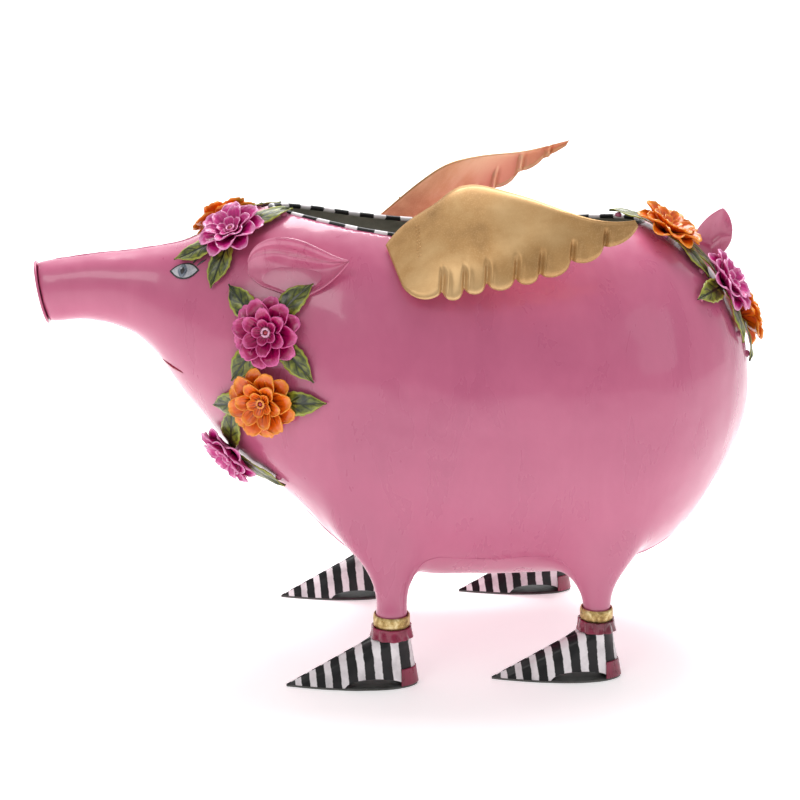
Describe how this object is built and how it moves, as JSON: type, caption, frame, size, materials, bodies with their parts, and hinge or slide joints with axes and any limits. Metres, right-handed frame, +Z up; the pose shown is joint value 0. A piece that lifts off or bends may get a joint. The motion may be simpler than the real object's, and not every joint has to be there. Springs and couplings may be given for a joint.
{
  "type": "pig-shaped planter",
  "caption": "Round sheet-metal pig with an open back to hold plants, small wings, leaf-shaped ears and tail, a flower garland and pointed striped shoes.",
  "frame": {"origin": "on the ground under the middle of the object's box", "axes": "+Z up; the snout points along -X and the tail along +X; the pig's left side is -Y"},
  "size_m": [0.719, 0.3044, 0.4959],
  "materials": {
    "pink_paint": "gloss hand-painted",
    "striped_rim_paint": "gloss black and white bands",
    "gold_wing_paint": "satin gold",
    "striped_shoe_paint": "gloss black and white stripes",
    "bare_sheet": "dull zinc-coated sheet",
    "magenta_paint": "gloss hand-painted",
    "gold_band_paint": "mottled satin gold",
    "orange_flower_paint": "gloss, darker streaks",
    "magenta_flower_paint": "gloss, pale petal edges",
    "leaf_paint": "gloss green, dark veins",
    "rivet_paint": "gloss"
  },
  "bodies": {
    "root": {"left_side_panel": "pink_paint", "right_side_panel": "pink_paint", "belly_panel": "pink_paint", "snout_plate": "pink_paint", "left_ear": "pink_paint", "right_ear": "pink_paint", "tail": "pink_paint", "opening_rim": "striped_rim_paint", "left_wing": "gold_wing_paint", "right_wing": "gold_wing_paint", "front_left_shoe_upper": "striped_shoe_paint", "front_left_shoe_sole": "bare_sheet", "front_left_heel_cap": "magenta_paint", "front_left_sock_cuff": "magenta_paint", "front_left_anklet": "gold_band_paint", "front_right_shoe_upper": "striped_shoe_paint", "front_right_shoe_sole": "bare_sheet", "front_right_heel_cap": "magenta_paint", "front_right_sock_cuff": "magenta_paint", "front_right_anklet": "gold_band_paint", "rear_left_shoe_upper": "striped_shoe_paint", "rear_left_shoe_sole": "bare_sheet", "rear_left_heel_cap": "magenta_paint", "rear_left_sock_cuff": "magenta_paint", "rear_left_anklet": "gold_band_paint", "rear_right_shoe_upper": "striped_shoe_paint", "rear_right_shoe_sole": "bare_sheet", "rear_right_heel_cap": "magenta_paint", "rear_right_sock_cuff": "magenta_paint", "rear_right_anklet": "gold_band_paint", "crown_left_flower": "magenta_flower_paint", "crown_left_leaves": "leaf_paint", "crown_right_flower": "orange_flower_paint", "crown_right_leaves": "leaf_paint", "cheek_left_flower": "magenta_flower_paint", "cheek_left_leaves": "leaf_paint", "cheek_right_flower": "magenta_flower_paint", "cheek_right_leaves": "leaf_paint", "throat_left_flower": "orange_flower_paint", "throat_left_leaves": "leaf_paint", "throat_right_flower": "orange_flower_paint", "throat_right_leaves": "leaf_paint", "chest_flower": "magenta_flower_paint", "chest_leaves": "leaf_paint", "rump_left_front_flower": "orange_flower_paint", "rump_left_front_leaves": "leaf_paint", "rump_left_rear_flower": "magenta_flower_paint", "rump_left_rear_leaves": "leaf_paint", "rump_centre_flower": "orange_flower_paint", "rump_centre_leaves": "leaf_paint", "rump_right_rear_flower": "magenta_flower_paint", "rump_right_rear_leaves": "leaf_paint", "flower_rivets": "rivet_paint", "tack_welds": "pink_paint"}
  },
  "joints": []
}
